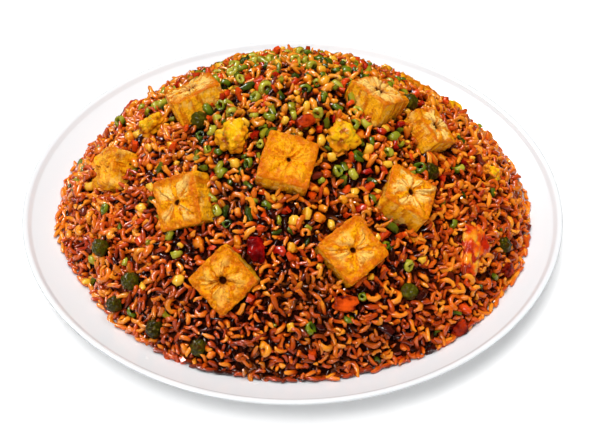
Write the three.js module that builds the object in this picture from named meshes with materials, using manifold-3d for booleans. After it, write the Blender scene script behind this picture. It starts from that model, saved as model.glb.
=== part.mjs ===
// Paneer fried rice heaped on a round white plate.
// Millimetres, +Z up. The origin is the middle of the plate's foot, where it rests on the table,
// and the side that is served towards the guest faces -Y.

import * as THREE from 'three';
import { mergeVertices } from 'three/addons/utils/BufferGeometryUtils.js';
import Module from 'manifold-3d';

const wasm = await Module();
wasm.setup();

// ---------------------------------------------------------------- driving dimensions

const PLATE_RADIUS = 135;
const PLATE_HEIGHT = 22;
const PLATE_THICKNESS = 3.6;
const WELL_RADIUS = 80;
const WELL_HEIGHT = 5;
const BOWING = 1.7; // how the plate curves up from the well: 1 is a cone, 2 a bowl
const FOOT_INNER_RADIUS = 70;
const FOOT_OUTER_RADIUS = 77;
const FOOT_RECESS = 1.6;
const RIM_BAND = 4; // width of the thin rolled band along the edge
const PLATE_SEGMENTS = 64;

const HEAP_HALF_LENGTH = 119;
const HEAP_HALF_WIDTH = 113;
const HEAP_SHIFT = 1; // the heap sits this much behind the middle of the plate
const HEAP_TOP = 104;
const HEAP_SHOULDER = 1.55; // lower makes the top more pointed
const HEAP_WALL = 1.2; // higher makes the sides steeper
const HEAP_RINGS = 23;

const GRAIN_LENGTH = 7;
const GRAIN_WIDTH = 2.6;
const PANEER_SIDE = 22.5;
const PANEER_DEPTH = 14;
const PEA_DIAMETER = 8.6;
const GAP = 0.3; // between any two pieces that touch

// ---------------------------------------------------------------- helpers

const DEGREE = Math.PI / 180;

// A repeatable stream of numbers from 0 to 1.
function randomStream(seed) {
  let state = seed;
  return () => {
    state = (state * 1664525 + 1013904223) % 4294967296;
    return state / 4294967296;
  };
}

function spread(random, amount) {
  return (random() * 2 - 1) * amount;
}

// Leaves only positions, joins the shared corners and drops faces that have no area.
function welded(geometry) {
  const bare = geometry.clone();
  bare.deleteAttribute('normal');
  bare.deleteAttribute('uv');
  const joined = mergeVertices(bare, 1e-4);
  const corners = joined.getIndex().array;
  const kept = [];
  for (let i = 0; i < corners.length; i += 3) {
    const [a, b, c] = [corners[i], corners[i + 1], corners[i + 2]];
    if (a !== b && b !== c && c !== a) kept.push(a, b, c);
  }
  joined.setIndex(kept);
  return joined;
}

function reshaped(geometry, move) {
  const result = welded(geometry);
  const places = result.getAttribute('position');
  const point = new THREE.Vector3();
  for (let i = 0; i < places.count; i += 1) {
    point.fromBufferAttribute(places, i);
    move(point, i);
    places.setXYZ(i, point.x, point.y, point.z);
  }
  return result;
}

function toSolid(geometry) {
  const clean = welded(geometry);
  return new wasm.Manifold(new wasm.Mesh({
    numProp: 3,
    vertProperties: new Float32Array(clean.getAttribute('position').array),
    triVerts: new Uint32Array(clean.getIndex().array),
  }));
}

function toGeometry(solid) {
  const mesh = solid.getMesh();
  const geometry = new THREE.BufferGeometry();
  geometry.setAttribute('position', new THREE.BufferAttribute(new Float32Array(mesh.vertProperties), 3));
  geometry.setIndex(new THREE.BufferAttribute(new Uint32Array(mesh.triVerts), 1));
  return geometry;
}

// A closed body from a run of rings, each an array of points counted anticlockwise from above
// on the way out and kept in that order on the way back in. A pole is a ring of one point.
function solidOfRings(rings) {
  const places = [];
  const faces = [];
  const starts = [];
  for (const ring of rings) {
    starts.push(places.length / 3);
    for (const point of ring) places.push(point.x, point.y, point.z);
  }
  for (let k = 0; k + 1 < rings.length; k += 1) {
    const [near, far] = [rings[k].length, rings[k + 1].length];
    const nearSteps = near > 1 ? near : 0;
    const farSteps = far > 1 ? far : 0;
    let i = 0;
    let j = 0;
    while (i < nearSteps || j < farSteps) {
      const a = starts[k] + (i % near);
      const b = starts[k + 1] + (j % far);
      const farFirst = i >= nearSteps || (j < farSteps && (j + 1) / far <= (i + 1) / near);
      if (farFirst) {
        j += 1;
        faces.push(a, b, starts[k + 1] + (j % far));
      } else {
        i += 1;
        faces.push(a, b, starts[k] + (i % near));
      }
    }
  }
  const geometry = new THREE.BufferGeometry();
  geometry.setAttribute('position', new THREE.Float32BufferAttribute(places, 3));
  geometry.setIndex(faces);
  return geometry;
}

function finish(colour, roughness) {
  return new THREE.MeshStandardMaterial({ color: colour, roughness, metalness: 0, flatShading: true });
}

// ---------------------------------------------------------------- the plate

function plateTop(radius) {
  const climb = Math.max(0, (radius - WELL_RADIUS) / (PLATE_RADIUS - WELL_RADIUS));
  return WELL_HEIGHT + (PLATE_HEIGHT - WELL_HEIGHT) * climb ** BOWING;
}

function makePlate() {
  const profile = [
    [0, FOOT_RECESS],
    [FOOT_INNER_RADIUS - 1, FOOT_RECESS],
    [FOOT_INNER_RADIUS, 0],
    [FOOT_OUTER_RADIUS, 0],
    [FOOT_OUTER_RADIUS + 2, WELL_HEIGHT - PLATE_THICKNESS],
  ];
  const stepsUnder = 3;
  const edge = PLATE_RADIUS - RIM_BAND;
  for (let i = 1; i <= stepsUnder; i += 1) {
    const radius = FOOT_OUTER_RADIUS + 2 + ((edge - FOOT_OUTER_RADIUS - 2) * i) / stepsUnder;
    profile.push([radius, plateTop(radius) - PLATE_THICKNESS]);
  }
  // the rolled band: down a little, round the lip and back in
  const lip = RIM_BAND / 4;
  profile.push([PLATE_RADIUS - lip, PLATE_HEIGHT - 2.4 * lip]);
  profile.push([PLATE_RADIUS, PLATE_HEIGHT - lip]);
  profile.push([PLATE_RADIUS - lip, PLATE_HEIGHT]);
  profile.push([edge, PLATE_HEIGHT - 1.1 * lip]);
  const stepsOver = 5;
  for (let i = 1; i < stepsOver; i += 1) {
    const radius = edge + ((WELL_RADIUS - edge) * i) / stepsOver;
    profile.push([radius, plateTop(radius)]);
  }
  profile.push([WELL_RADIUS, WELL_HEIGHT]);
  profile.push([0, WELL_HEIGHT]);
  const outline = profile.map(([radius, height]) => new THREE.Vector2(radius, height));
  const lathe = new THREE.LatheGeometry(outline, PLATE_SEGMENTS);
  return welded(lathe.rotateX(Math.PI / 2));
}

// ---------------------------------------------------------------- the surface of the heap

// How far (x, y) is from the middle of the heap: 0 in the middle and 1 at its foot.
function reachOf(x, y) {
  return Math.hypot(x / HEAP_HALF_LENGTH, (y - HEAP_SHIFT) / HEAP_HALF_WIDTH);
}

function footHeight(x, y) {
  const reach = Math.max(reachOf(x, y), 1e-6);
  return plateTop(Math.hypot(x / reach, (y - HEAP_SHIFT) / reach + HEAP_SHIFT)) + 1.2 * GAP;
}

function heapHeight(x, y) {
  const reach = Math.min(reachOf(x, y), 1);
  const foot = footHeight(x, y);
  return foot + (HEAP_TOP - foot) * (1 - reach ** HEAP_SHOULDER) ** (1 / HEAP_WALL);
}

function heapNormal(x, y) {
  const step = 0.5;
  const alongX = heapHeight(x + step, y) - heapHeight(x - step, y);
  const alongY = heapHeight(x, y + step) - heapHeight(x, y - step);
  return new THREE.Vector3(-alongX, -alongY, 2 * step).normalize();
}

// The matrix of a piece that lies at (x, y), with its top `proud` over the heap. It faces
// straight out of the heap, or where `lean` is given, that many degrees away from upright
// in the direction `towards`. `spin` turns it about its own axis.
function lying(x, y, { proud = 3.5, depth = 0, lean, towards = 0, spin = 0 }) {
  const facing = heapNormal(x, y);
  if (lean !== undefined) {
    const [tilt, bearing] = [lean * DEGREE, towards * DEGREE];
    facing.set(Math.sin(tilt) * Math.cos(bearing), Math.sin(tilt) * Math.sin(bearing), Math.cos(tilt));
  }
  const turn = new THREE.Quaternion().setFromUnitVectors(new THREE.Vector3(0, 0, 1), facing);
  turn.multiply(new THREE.Quaternion().setFromAxisAngle(new THREE.Vector3(0, 0, 1), spin * DEGREE));
  const middle = new THREE.Vector3(x, y, heapHeight(x, y)).addScaledVector(facing, proud - depth / 2);
  return new THREE.Matrix4().compose(middle, turn, new THREE.Vector3(1, 1, 1));
}

// How far a placed shape has to rise to stay clear of the plate.
function liftOffPlate(geometry) {
  const places = geometry.getAttribute('position');
  let lift = 0;
  for (let i = 0; i < places.count; i += 1) {
    const radius = Math.hypot(places.getX(i), places.getY(i));
    lift = Math.max(lift, plateTop(radius) + 1.5 * GAP - places.getZ(i));
  }
  return lift;
}

// ---------------------------------------------------------------- the pieces on the heap

// A fried cube: a square cushion with a pin-hole in its face and pleats that run out from it.
function makePaneer(random, { side = PANEER_SIDE, depth = PANEER_DEPTH }) {
  const half = side / 2;
  const top = depth / 2;
  const profile = [
    [0, -top],
    [half * 0.96, -top + 0.5],
    [half, top - 2.6],
    [half * 0.93, top - 0.5],
    [half * 0.55, top - 0.2],
    [half * 0.13, top - 0.4],
    [0, top - 2.6],
  ].map(([radius, height]) => new THREE.Vector2(radius, height));
  const sides = 16;
  const lathe = new THREE.LatheGeometry(profile, sides).rotateX(Math.PI / 2);
  const swell = Array.from({ length: sides }, () => 1 + spread(random, 0.035));
  const squareness = 7;
  const pleat = 0.75;
  return reshaped(lathe, (point) => {
    const radius = Math.hypot(point.x, point.y);
    if (radius < 1e-6) return;
    const angle = Math.atan2(point.y, point.x);
    const index = Math.round(angle / (2 * Math.PI / sides) + sides) % sides;
    const onFace = radius < half * 0.8 && point.z > 0;
    const square = (Math.abs(Math.cos(angle)) ** squareness + Math.abs(Math.sin(angle)) ** squareness)
      ** (-1 / squareness);
    const stretch = radius < half * 0.2 ? 1 : square * swell[index];
    point.x *= stretch;
    point.y *= stretch;
    if (onFace && radius > half * 0.2) point.z += index % 2 ? pleat : -pleat;
  });
}

// A rough rounded lump, such as a floret or a soft piece of tomato.
function makeLump(random, { length, width, depth, roughness = 0.12 }) {
  return reshaped(new THREE.IcosahedronGeometry(0.5, 1), (point) => {
    const swell = 1 + spread(random, roughness);
    point.set(point.x * length * swell, point.y * width * swell, point.z * depth * swell);
  });
}

function makePea(random, { diameter = PEA_DIAMETER }) {
  const squash = 1 - 0.08 * random();
  return reshaped(new THREE.SphereGeometry(diameter / 2, 6, 4), (point) => {
    point.z *= squash;
  });
}

// A bent piece cut from the wall of a pepper.
function makeStrip(random, { length, width, depth }) {
  const bend = 0.9 + spread(random, 0.3);
  return reshaped(new THREE.BoxGeometry(length, width, depth, 2, 1, 1), (point) => {
    const along = point.x / (length / 2);
    point.y *= 1 - 0.22 * along * along;
    point.z -= bend * along * along;
  });
}

// ---------------------------------------------------------------- where the large pieces lie

const GOLD = '#eea436';
const YELLOW = '#f0ad22';
const TOMATO = '#e2511c';
const RED = '#b8200f';
const GREEN = '#5c741c';

// The nine cubes that show from the front, then those behind that finish the heap.
const PANEER_SPOTS = [
  { x: -2, y: -41, lean: 26, towards: -74, spin: -13, side: 25 },
  { x: -53, y: -47, lean: 56, towards: -134, spin: -3, side: 25 },
  { x: 55, y: -43, lean: 28, towards: -20, spin: -13, side: 24 },
  { x: 28, y: -72, lean: 36, towards: -72, spin: 44, side: 25 },
  { x: -32, y: -81, lean: 52, towards: -105, spin: 39, side: 24.5 },
  { x: -48, y: 12, lean: 31, towards: 139, spin: 19, side: 25 },
  { x: 41, y: 5, lean: 29, towards: 34, spin: -37, side: 23.5 },
  { x: 68, y: 1, lean: 44, towards: 5, spin: 42, side: 20.5 },
  { x: -90, y: -6, lean: 60, towards: -159, spin: -32, side: 18 },
  { x: -24, y: 82, spin: 15, proud: 0, side: 24 },
  { x: 24, y: 100, lean: 46, towards: 70, spin: 60, proud: 1, side: 25 },
  { x: -60, y: 86, spin: 35, proud: 0.5, side: 23 },
  { x: 62, y: 74, spin: 10, proud: 0.3, side: 24 },
];

const FLORET_SPOTS = [
  { x: -29, y: -25, proud: 4, length: 16, width: 15, depth: 11 },
  { x: 24, y: -27, proud: 4, length: 15, width: 14, depth: 11 },
  { x: -70, y: 8, proud: 3, length: 13, width: 10, depth: 9 },
  { x: 100, y: 3, proud: 2, length: 11, width: 10, depth: 8 },
  { x: 2, y: 108, proud: 2.5, length: 15, width: 14, depth: 11 },
  { x: 84, y: 62, proud: 2.5, length: 13, width: 12, depth: 9 },
];

const TOMATO_SPOTS = [
  { x: 87, y: -49, spin: 85, proud: 3, length: 23, width: 15, depth: 8 },
  { x: -83, y: 66, spin: 130, proud: 2.5, length: 17, width: 12, depth: 8 },
];

const PEPPER_SPOTS = [
  { x: -17, y: -73, spin: 100, proud: 2.4, length: 12, width: 8, depth: 3.6 },
  { x: 25, y: -89.5, spin: 5, proud: 2.2, length: 11, width: 8, depth: 3.4 },
  { x: 6, y: -23, spin: 20, proud: 2, length: 9, width: 6, depth: 3 },
  { x: 80, y: -81, spin: 40, proud: 2, length: 9, width: 7, depth: 3 },
  { x: 105, y: -45, spin: 60, proud: 2, length: 8, width: 6, depth: 3 },
  { x: 48, y: 99, spin: 30, proud: 2, length: 10, width: 7, depth: 3 },
  { x: 2, y: 93, spin: 80, proud: 2, length: 9, width: 6, depth: 3 },
];

const PEA_SPOTS = [
  [-87, -70], [-79, -66], [-67, -87], [-45, -99], [-95, -43], [68, -24], [59, 20],
  [56, -79], [105, -34], [-46, -7], [2, 80], [-36, 100], [-20, 104],
].map(([x, y]) => ({ x, y, proud: 3.4, diameter: PEA_DIAMETER - (Math.abs(x * 7 + y * 3) % 10) / 10 }));

function thicknessOf(spot) {
  return spot.depth ?? spot.diameter ?? PANEER_DEPTH;
}

function makeToppings() {
  const kinds = [
    ['paneer', PANEER_SPOTS, makePaneer, GOLD, 0.45],
    ['floret', FLORET_SPOTS, makeLump, YELLOW, 0.5],
    ['tomato', TOMATO_SPOTS, makeLump, TOMATO, 0.3],
    ['pepper', PEPPER_SPOTS, makeStrip, RED, 0.25],
    ['pea', PEA_SPOTS, makePea, GREEN, 0.3],
  ];
  const toppings = [];
  kinds.forEach(([name, spots, make, colour, roughness], kind) => {
    const random = randomStream(100 + kind);
    spots.forEach((spot, index) => {
      const geometry = make(random, spot);
      const matrix = lying(spot.x, spot.y, { ...spot, depth: thicknessOf(spot) });
      const mesh = new THREE.Mesh(geometry, finish(colour, roughness));
      mesh.name = `${name}_${index + 1}`;
      mesh.applyMatrix4(matrix);
      mesh.position.z += liftOffPlate(geometry.clone().applyMatrix4(matrix));
      toppings.push(mesh);
    });
  });
  return toppings;
}

// The room that a topping takes out of the heap, larger than the topping by the gap all round:
// a plain box for a cube, and the topping's own shape for the rest.
function pocketOf(mesh) {
  mesh.updateMatrixWorld(true);
  mesh.geometry.computeBoundingBox();
  const size = mesh.geometry.boundingBox.getSize(new THREE.Vector3());
  const middle = mesh.geometry.boundingBox.getCenter(new THREE.Vector3());
  const grow = 2.2 * GAP;
  let room;
  if (mesh.name.startsWith('paneer')) {
    room = new THREE.BoxGeometry(size.x + grow, size.y + grow, size.z + grow);
    room.translate(middle.x, middle.y, middle.z);
  } else {
    room = mesh.geometry.clone();
    room.scale(1 + grow / size.x, 1 + grow / size.y, 1 + grow / size.z);
  }
  return toSolid(room.applyMatrix4(mesh.matrixWorld));
}

// ---------------------------------------------------------------- the heap of rice

const BUMP = 1.7; // how far a grain's back stands over or under the heap's surface

// Reach values that are evenly far apart when walked along the heap's slope.
function evenReaches(count) {
  const samples = 400;
  const lengths = [0];
  for (let i = 1; i <= samples; i += 1) {
    const [inner, outer] = [(i - 1) / samples, i / samples];
    const rise = heapHeight(outer * HEAP_HALF_LENGTH, HEAP_SHIFT) - heapHeight(inner * HEAP_HALF_LENGTH, HEAP_SHIFT);
    lengths.push(lengths[i - 1] + Math.hypot(HEAP_HALF_LENGTH / samples, rise));
  }
  const reaches = [];
  let sample = 0;
  for (let k = 1; k <= count; k += 1) {
    const wanted = (lengths[samples] * k) / count;
    while (sample < samples && lengths[sample] < wanted) sample += 1;
    reaches.push(sample / samples);
  }
  return reaches;
}

function pointOnHeap(reach, angle, sink) {
  const x = reach * HEAP_HALF_LENGTH * Math.cos(angle);
  const y = HEAP_SHIFT + reach * HEAP_HALF_WIDTH * Math.sin(angle);
  const point = new THREE.Vector3(x, y, heapHeight(x, y));
  if (sink) point.addScaledVector(heapNormal(x, y), -sink);
  return point;
}

function makeCore() {
  const random = randomStream(7);
  const rings = [[pointOnHeap(0, 0, 1)]];
  const reaches = evenReaches(HEAP_RINGS);
  reaches.forEach((reach, k) => {
    const count = 6 * (k + 1);
    const atFoot = k === HEAP_RINGS - 1;
    const ring = [];
    for (let i = 0; i < count; i += 1) {
      const angle = (2 * Math.PI * i) / count;
      const ragged = atFoot ? 0.985 + spread(random, 0.012) : reach;
      const side = random() < 0.5 ? -1 : 1;
      const bump = side * BUMP * (0.6 + 0.4 * random());
      ring.push(pointOnHeap(ragged, angle, atFoot ? 0 : 1 + bump));
    }
    if (atFoot) {
      for (const point of ring) point.z = plateTop(Math.hypot(point.x, point.y)) + 1.2 * GAP;
    }
    rings.push(ring);
  });
  const underCount = 36;
  const under = [];
  for (let i = 0; i < underCount; i += 1) {
    const angle = (2 * Math.PI * i) / underCount;
    const radius = WELL_RADIUS - 1;
    under.push(new THREE.Vector3(radius * Math.cos(angle), radius * Math.sin(angle), WELL_HEIGHT + GAP));
  }
  rings.push(under, [new THREE.Vector3(0, 0, WELL_HEIGHT + GAP)]);
  return solidOfRings(rings);
}

// The small pieces that are fused to the core, each with few sides.
function makeGrain(random) {
  const half = GRAIN_LENGTH / 2 + spread(random, 0.6);
  const thick = GRAIN_WIDTH / 2;
  const profile = [[0, -half], [thick, -half * 0.55], [thick, half * 0.55], [0, half]];
  const outline = profile.map(([radius, height]) => new THREE.Vector2(radius, height));
  return welded(new THREE.LatheGeometry(outline, 5));
}

function makeOnionRing(random) {
  const radius = 3.1 + spread(random, 0.5);
  const profile = [[0, -1.4], [radius, -1.4], [radius * 0.8, 1.4], [0, 0.2]];
  const outline = profile.map(([r, z]) => new THREE.Vector2(r, z));
  return welded(new THREE.LatheGeometry(outline, 6).rotateX(Math.PI / 2));
}

function makeSmallPea(random) {
  return welded(new THREE.IcosahedronGeometry(3.3 + spread(random, 0.4), 0));
}

function makeDice(random) {
  return welded(new THREE.BoxGeometry(6 + spread(random, 1), 4.4 + spread(random, 0.6), 3.4));
}

// Spots spread evenly over the heap on a sunflower spiral, between two reaches.
function spiralSpots(count, from, to, random) {
  const golden = Math.PI * (3 - Math.sqrt(5));
  return Array.from({ length: count }, (_, i) => {
    const reach = Math.sqrt(from * from + ((to * to - from * from) * (i + 0.5)) / count);
    const angle = i * golden + spread(random, 0.15);
    return pointOnHeap(reach, angle, 0);
  });
}

function clearOfToppings(point, radius, toppings) {
  return toppings.every((mesh) => {
    mesh.geometry.computeBoundingSphere();
    const room = mesh.geometry.boundingSphere.radius + radius + 2 * GAP;
    return mesh.position.distanceTo(point) > room;
  });
}

function makeSmallPieces(toppings) {
  const random = randomStream(29);
  const zones = [
    { count: 38, from: 0.0, to: 0.55, kinds: [makeOnionRing, makeOnionRing, makeDice, makeSmallPea] },
    { count: 40, from: 0.55, to: 0.97, kinds: [makeDice, makeSmallPea, makeGrain, makeGrain] },
    { count: 26, from: 0.985, to: 1.0, kinds: [makeGrain] },
  ];
  const pieces = [];
  for (const { count, from, to, kinds } of zones) {
    for (const spot of spiralSpots(count, from, to, random)) {
      const make = kinds[Math.floor(random() * kinds.length)];
      const spin = random() * 360;
      const geometry = make(random);
      if (!clearOfToppings(spot, GRAIN_LENGTH / 2, toppings)) continue;
      const matrix = lying(spot.x, spot.y, { proud: 0.2, spin });
      geometry.applyMatrix4(matrix);
      pieces.push(geometry.translate(0, 0, liftOffPlate(geometry)));
    }
  }
  return pieces;
}

// Keeps the outer skin of the largest body: seals any hollow and drops loose scraps.
function wholeOf(solid) {
  const bodies = solid.decompose();
  return bodies.reduce((best, body) => (body.volume() > best.volume() ? body : best));
}

function makeHeap(toppings) {
  let heap = toSolid(makeCore());
  for (const piece of makeSmallPieces(toppings)) heap = heap.add(toSolid(piece));
  for (const mesh of toppings) heap = heap.subtract(pocketOf(mesh));
  return toGeometry(wholeOf(heap));
}

// ---------------------------------------------------------------- the dish put together

const dish = new THREE.Group();

const plate = new THREE.Mesh(makePlate(), finish('#f6f7f8', 0.12));
plate.name = 'plate';
dish.add(plate);

const toppings = makeToppings();
const heap = new THREE.Mesh(makeHeap(toppings), finish('#c5661d', 0.4));
heap.name = 'rice_heap';
dish.add(heap, ...toppings);

export default dish;
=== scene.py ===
import math

import bmesh
import bpy
import numpy as np
from mathutils import Matrix, Quaternion, Vector, noise


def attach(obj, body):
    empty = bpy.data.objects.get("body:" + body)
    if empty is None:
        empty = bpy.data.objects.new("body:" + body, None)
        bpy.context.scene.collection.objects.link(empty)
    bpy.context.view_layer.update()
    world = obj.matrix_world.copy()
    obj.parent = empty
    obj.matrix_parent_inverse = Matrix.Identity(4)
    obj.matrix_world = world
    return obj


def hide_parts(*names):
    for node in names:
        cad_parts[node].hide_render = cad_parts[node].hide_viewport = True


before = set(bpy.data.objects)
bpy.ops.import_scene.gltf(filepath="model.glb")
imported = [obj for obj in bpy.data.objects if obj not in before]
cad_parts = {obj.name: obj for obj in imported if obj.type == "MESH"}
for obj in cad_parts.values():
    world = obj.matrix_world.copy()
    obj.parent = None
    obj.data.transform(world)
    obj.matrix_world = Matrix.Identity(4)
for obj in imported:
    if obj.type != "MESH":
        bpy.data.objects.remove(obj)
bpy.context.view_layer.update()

# ---------------------------------------------------------------- how the dish is looked at
# The dish stands on a plain pale table in a soft studio light. The camera looks down on it
# from the guest's side, from far enough away for the plate's rim to be close to an ellipse.

MM = 0.001  # sizes are in millimetres and Blender's unit is the metre

CAMERA_AIM = (1.24, 0, 11.7)
CAMERA_DISTANCE = 1200
CAMERA_ELEVATION = 42.325
SENSOR_WIDTH = 36
FOCAL_LENGTH = 145.36
FARTHEST_VIEW = 20  # metres

camera = bpy.data.objects.new("camera", bpy.data.cameras.new("camera"))
camera.data.sensor_width = SENSOR_WIDTH
camera.data.lens = FOCAL_LENGTH
camera.data.clip_end = FARTHEST_VIEW
looking_down = math.radians(CAMERA_ELEVATION)
camera_back = Vector((0, -math.cos(looking_down), math.sin(looking_down)))
camera.location = (Vector(CAMERA_AIM) + camera_back * CAMERA_DISTANCE) * MM
camera.rotation_euler = (math.radians(90 - CAMERA_ELEVATION), 0, 0)
bpy.context.scene.collection.objects.link(camera)
bpy.context.scene.camera = camera


def soft_lamp(name, strength, spread, elevation, azimuth, lights, glints):
    """A far lamp as wide as `spread` degrees, seen at that elevation and azimuth, 0 being behind the
    camera. It lights surfaces, or glints on wet ones, or both."""
    lamp = bpy.data.objects.new(name, bpy.data.lights.new(name, "SUN"))
    lamp.data.energy = strength
    lamp.data.angle = math.radians(spread)
    lamp.visible_diffuse = lights
    lamp.visible_glossy = glints
    up, around = math.radians(elevation), math.radians(azimuth)
    source = Vector((math.sin(around) * math.cos(up), -math.cos(around) * math.cos(up), math.sin(up)))
    lamp.rotation_euler = source.to_track_quat("Z", "Y").to_euler()
    bpy.context.scene.collection.objects.link(lamp)


soft_lamp("top_box", strength=2.2, spread=60, elevation=80, azimuth=180, lights=True, glints=False)
soft_lamp("key_box", strength=2.0, spread=22, elevation=60, azimuth=-18, lights=True, glints=False)
soft_lamp("back_glint", strength=3.6, spread=22, elevation=52, azimuth=-130, lights=False, glints=True)
soft_lamp("front_glint", strength=1.8, spread=14, elevation=38, azimuth=-42, lights=False, glints=True)

world = bpy.data.worlds.new("studio")
world.use_nodes = True
sky = world.node_tree.nodes["Background"].inputs
sky["Color"].default_value = (1.0, 1.0, 1.0, 1)
sky["Strength"].default_value = 0.12
world.cycles_visibility.glossy = False
bpy.context.scene.world = world
bpy.context.scene.view_settings.view_transform = "Standard"


def tint(code):
    """The colour of an sRGB code such as #c5661d, as Blender counts it."""
    channels = [int(code[i:i + 2], 16) / 255 for i in (1, 3, 5)]
    linear = [c / 12.92 if c <= 0.04045 else ((c + 0.055) / 1.055) ** 2.4 for c in channels]
    return (*linear, 1)


class Wire:
    """A node's output. Sums on it are written as sums and add Math nodes."""

    def __init__(self, graph, socket):
        self.graph = graph
        self.socket = socket

    def also(self, name):
        """Another output of the same node."""
        return Wire(self.graph, self.graph.find(self.socket.node.outputs, name))

    def _sum(self, operation, first, second):
        return self.graph.node("ShaderNodeMath", {"operation": operation}, {0: first, 1: second})

    def __add__(self, other):
        return self._sum("ADD", self, other)

    def __sub__(self, other):
        return self._sum("SUBTRACT", self, other)

    def __rsub__(self, other):
        return self._sum("SUBTRACT", other, self)

    def __mul__(self, other):
        return self._sum("MULTIPLY", self, other)

    def __truediv__(self, other):
        return self._sum("DIVIDE", self, other)

    def __rtruediv__(self, other):
        return self._sum("DIVIDE", other, self)

    def __pow__(self, other):
        return self._sum("POWER", self, other)

    __radd__ = __add__
    __rmul__ = __mul__


class Graph:
    """A tree of nodes, for a finish or for a shape."""

    def __init__(self, tree):
        self.tree = tree

    @staticmethod
    def find(sockets, key):
        if isinstance(key, int):
            return sockets[key]
        return next(s for s in sockets if s.name == key and s.enabled)

    def node(self, kind, settings=None, values=None, out=0):
        """Adds a node: its settings first, then the values, colour codes or links of its inputs.
        Returns an output."""
        made = self.tree.nodes.new(kind)
        for name, value in (settings or {}).items():
            if name == "stops":
                self._set_stops(made.color_ramp, value)
            else:
                setattr(made, name, value)
        for key, value in (values or {}).items():
            target = self.find(made.inputs, key)
            if isinstance(value, Wire):
                self.tree.links.new(value.socket, target)
            elif isinstance(value, str) and value.startswith("#"):
                target.default_value = tint(value)
            else:
                target.default_value = value
        sockets = [s for s in made.outputs if s.enabled]
        if not sockets:
            return made
        return Wire(self, sockets[out] if isinstance(out, int) else self.find(made.outputs, out))

    @staticmethod
    def _set_stops(ramp, stops):
        while len(ramp.elements) < len(stops):
            ramp.elements.new(0.5)
        for element, (place, colour) in zip(ramp.elements, stops):
            element.position = place
            element.color = colour

    def split(self, place):
        """The X of a vector, whose Y and Z are further outputs of the same node."""
        return self.node("ShaderNodeSeparateXYZ", None, {"Vector": place}, "X")

    def joined(self, **parts):
        return self.node("ShaderNodeCombineXYZ", None, parts)

    def absolute(self, value):
        return self.node("ShaderNodeMath", {"operation": "ABSOLUTE"}, {0: value})

    def larger(self, first, second):
        return self.node("ShaderNodeMath", {"operation": "MAXIMUM"}, {0: first, 1: second})

    def vector(self, operation, first, second, out="Vector"):
        return self.node("ShaderNodeVectorMath", {"operation": operation}, {0: first, 1: second}, out)

    def scaled(self, way, by):
        return self.node("ShaderNodeVectorMath", {"operation": "SCALE"}, {"Vector": way, "Scale": by})

    def step(self, value, start, end):
        """0 up to start, 1 from end, and a soft step between."""
        settings = {"interpolation_type": "SMOOTHSTEP", "clamp": True}
        values = {"Value": value, "From Min": start, "From Max": end}
        return self.node("ShaderNodeMapRange", settings, values)

    def mix(self, share, first, second):
        """first where share is 0 and second where it is 1, as colours."""
        values = {"Factor": share, "A": first, "B": second}
        return self.node("ShaderNodeMix", {"data_type": "RGBA"}, values)

    def ramp(self, share, stops):
        """The colour at `share` of a run of stops, each a place from 0 to 1 and an sRGB code."""
        stops = [(place, tint(code)) for place, code in stops]
        return self.node("ShaderNodeValToRGB", {"stops": stops}, {"Fac": share})

    def noise(self, place, size, detail=2.0, roughness=0.5):
        """Soft noise from 0 to 1 whose blots are about `size` millimetres across."""
        values = {"Vector": place, "Scale": 1 / (size * MM), "Detail": detail, "Roughness": roughness}
        return self.node("ShaderNodeTexNoise", None, values)

    def attribute(self, name, out="Fac"):
        return self.node("ShaderNodeAttribute", {"attribute_name": name}, None, out)


class Finish(Graph):
    """A material with one shader, whose constants sit on the shader's own sockets."""

    def __init__(self, name, **constants):
        self.material = bpy.data.materials.new(name)
        self.material.use_nodes = True
        super().__init__(self.material.node_tree)
        self.shader = self.tree.nodes["Principled BSDF"]
        for socket, value in constants.items():
            self.shader.inputs[socket.replace("_", " ")].default_value = value
        self.place = self.node("ShaderNodeTexCoord", None, None, "Object")

    def set(self, socket, wire):
        self.tree.links.new(wire.socket, self.shader.inputs[socket])

    def bump(self, height, depth, strength=1.0):
        """Relief from a height of 0 to 1 that stands for `depth` millimetres."""
        values = {"Height": height, "Distance": depth * MM, "Strength": strength}
        self.set("Normal", self.node("ShaderNodeBump", None, values))


def piece_of(name, points, faces, finish=None):
    """A smooth mesh object from points in millimetres, in its place, outside any collection."""
    mesh = bpy.data.meshes.new(name)
    mesh.from_pydata([tuple(Vector(p) * MM) for p in points], [], faces)
    mesh.shade_smooth()
    if finish:
        mesh.materials.append(finish.material)
    piece = bpy.data.objects.new(name, mesh)
    bpy.context.scene.collection.objects.link(piece)
    return piece


table_finish = Finish("table", Roughness=0.6, Specular_IOR_Level=0.2)
table_finish.set("Base Color", table_finish.mix(
    table_finish.noise(table_finish.place, 300), (0.84, 0.84, 0.84, 1), (0.86, 0.86, 0.86, 1)))
table_finish.shader.inputs["Emission Color"].default_value = (1.0, 1.0, 1.0, 1)
table_finish.shader.inputs["Emission Strength"].default_value = 0.2
TABLE_REACH = 6000
table_corners = [(x * TABLE_REACH, y * TABLE_REACH, 0) for x, y in ((-1, -1), (1, -1), (1, 1), (-1, 1))]
table = piece_of("table", table_corners, [(0, 1, 2, 3)], table_finish)
table.visible_glossy = False  # so that wet things don't mirror the bright table

# ---------------------------------------------------------------- the plate
# A round dinner plate of white glazed porcelain with a flat well, a wall that bows up from it,
# and a thin rolled band along the edge. It was pressed in one piece and stands on a foot ring.

PLATE_RADIUS = 135
PLATE_HEIGHT = 22
PLATE_THICKNESS = 3.6
WELL_RADIUS = 80
WELL_HEIGHT = 5
BOWING = 1.7
FOOT_INNER_RADIUS = 70
FOOT_OUTER_RADIUS = 77
FOOT_RECESS = 1.6
RIM_BAND = 4
LIP = 1.0  # radius of the rolled edge
PLATE_STEPS = 192


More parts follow.
